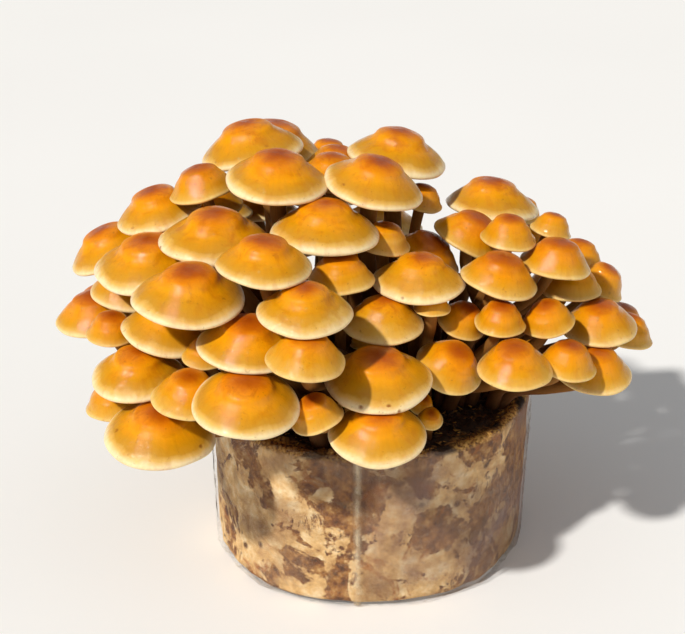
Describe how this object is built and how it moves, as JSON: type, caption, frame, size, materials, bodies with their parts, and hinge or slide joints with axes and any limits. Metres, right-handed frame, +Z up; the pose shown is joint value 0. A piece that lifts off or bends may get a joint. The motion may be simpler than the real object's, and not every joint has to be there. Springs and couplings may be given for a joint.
{
  "type": "nameko mushroom cluster",
  "caption": "Dense two-lobed cluster of glossy amber nameko mushrooms on slim stems, growing from a short round sawdust block in a clear film bag.",
  "frame": {"origin": "centre of the bag's flat base, where the growing block stands", "axes": "+Z up through the cluster, -Y towards the fullest side of the cluster, +X towards the smaller right-hand lobe"},
  "size_m": [0.2195, 0.1989, 0.1572],
  "materials": {
    "ripe_flesh": "slimy, glossy",
    "young_flesh": "slimy, glossy",
    "sawdust": "matt, crumbly",
    "film": "clear, glossy, wrinkled"
  },
  "bodies": {
    "root": {"nameko_crown_01": "ripe_flesh", "nameko_crown_02": "ripe_flesh", "nameko_crown_03": "ripe_flesh", "nameko_crown_04": "ripe_flesh", "nameko_crown_05": "ripe_flesh", "nameko_crown_06": "ripe_flesh", "nameko_crown_07": "ripe_flesh", "nameko_crown_08": "ripe_flesh", "nameko_crown_13": "ripe_flesh", "nameko_crown_09": "ripe_flesh", "nameko_crown_10": "ripe_flesh", "nameko_crown_11": "ripe_flesh", "nameko_crown_12": "young_flesh", "nameko_left_01": "ripe_flesh", "nameko_left_02": "ripe_flesh", "nameko_left_03": "ripe_flesh", "nameko_left_04": "ripe_flesh", "nameko_left_05": "ripe_flesh", "nameko_left_06": "ripe_flesh", "nameko_left_07": "ripe_flesh", "nameko_left_08": "ripe_flesh", "nameko_front_01": "ripe_flesh", "nameko_front_02": "ripe_flesh", "nameko_front_03": "ripe_flesh", "nameko_front_04": "ripe_flesh", "nameko_front_05": "ripe_flesh", "nameko_front_06": "ripe_flesh", "nameko_front_07": "ripe_flesh", "nameko_front_08": "ripe_flesh", "nameko_front_09": "ripe_flesh", "nameko_front_10": "ripe_flesh", "nameko_front_11": "ripe_flesh", "nameko_front_12": "ripe_flesh", "nameko_front_13": "ripe_flesh", "nameko_front_14": "young_flesh", "nameko_side_01": "ripe_flesh", "nameko_side_02": "ripe_flesh", "nameko_side_03": "young_flesh", "nameko_side_04": "young_flesh", "nameko_side_05": "ripe_flesh", "nameko_side_06": "ripe_flesh", "nameko_side_07": "ripe_flesh", "nameko_side_08": "young_flesh", "nameko_side_09": "ripe_flesh", "nameko_side_10": "ripe_flesh", "nameko_side_11": "ripe_flesh", "nameko_back_01": "ripe_flesh", "nameko_back_02": "ripe_flesh", "nameko_back_03": "ripe_flesh", "nameko_back_04": "ripe_flesh", "nameko_back_05": "ripe_flesh", "nameko_back_06": "ripe_flesh", "nameko_back_07": "ripe_flesh", "nameko_back_08": "ripe_flesh", "nameko_back_09": "ripe_flesh", "nameko_back_10": "ripe_flesh", "nameko_back_11": "ripe_flesh", "substrate_block": "sawdust", "film_bag": "film"}
  },
  "joints": []
}
